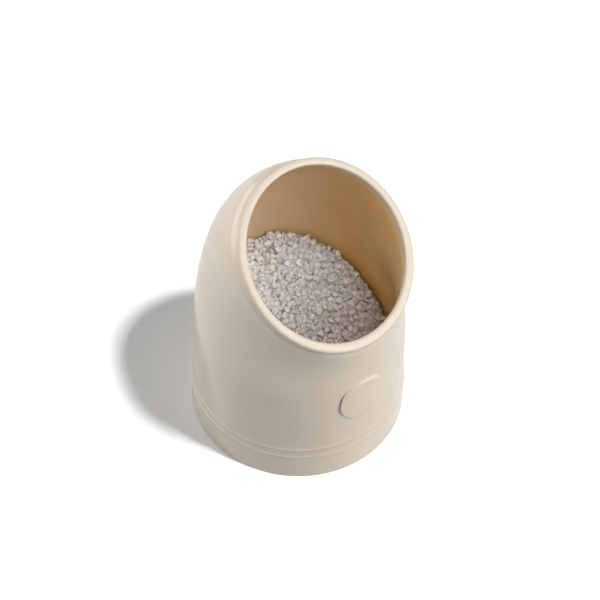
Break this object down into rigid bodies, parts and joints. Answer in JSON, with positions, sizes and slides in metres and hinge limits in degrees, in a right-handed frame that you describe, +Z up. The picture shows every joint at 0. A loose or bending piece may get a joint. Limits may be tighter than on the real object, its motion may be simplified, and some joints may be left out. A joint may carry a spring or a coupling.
{
  "type": "salt pig",
  "caption": "Round stoneware salt pot with a leaning hood and a tilted round mouth, holding a heap of coarse salt crystals.",
  "frame": {"origin": "middle of the foot, on the plane that the pot stands on", "axes": "+Z up, -Y towards the open mouth, +Y towards the hooded back, +X to the right of someone who looks along +Y into the mouth"},
  "size_m": [0.11, 0.11, 0.1496],
  "materials": {
    "cream_glaze": "gloss",
    "packed_salt": "rough",
    "salt_crystals": "satin"
  },
  "bodies": {
    "root": {"pot": "cream_glaze", "salt_bed": "packed_salt", "coarse_crystals": "salt_crystals", "medium_crystals": "salt_crystals", "fine_crystals": "salt_crystals"}
  },
  "joints": []
}
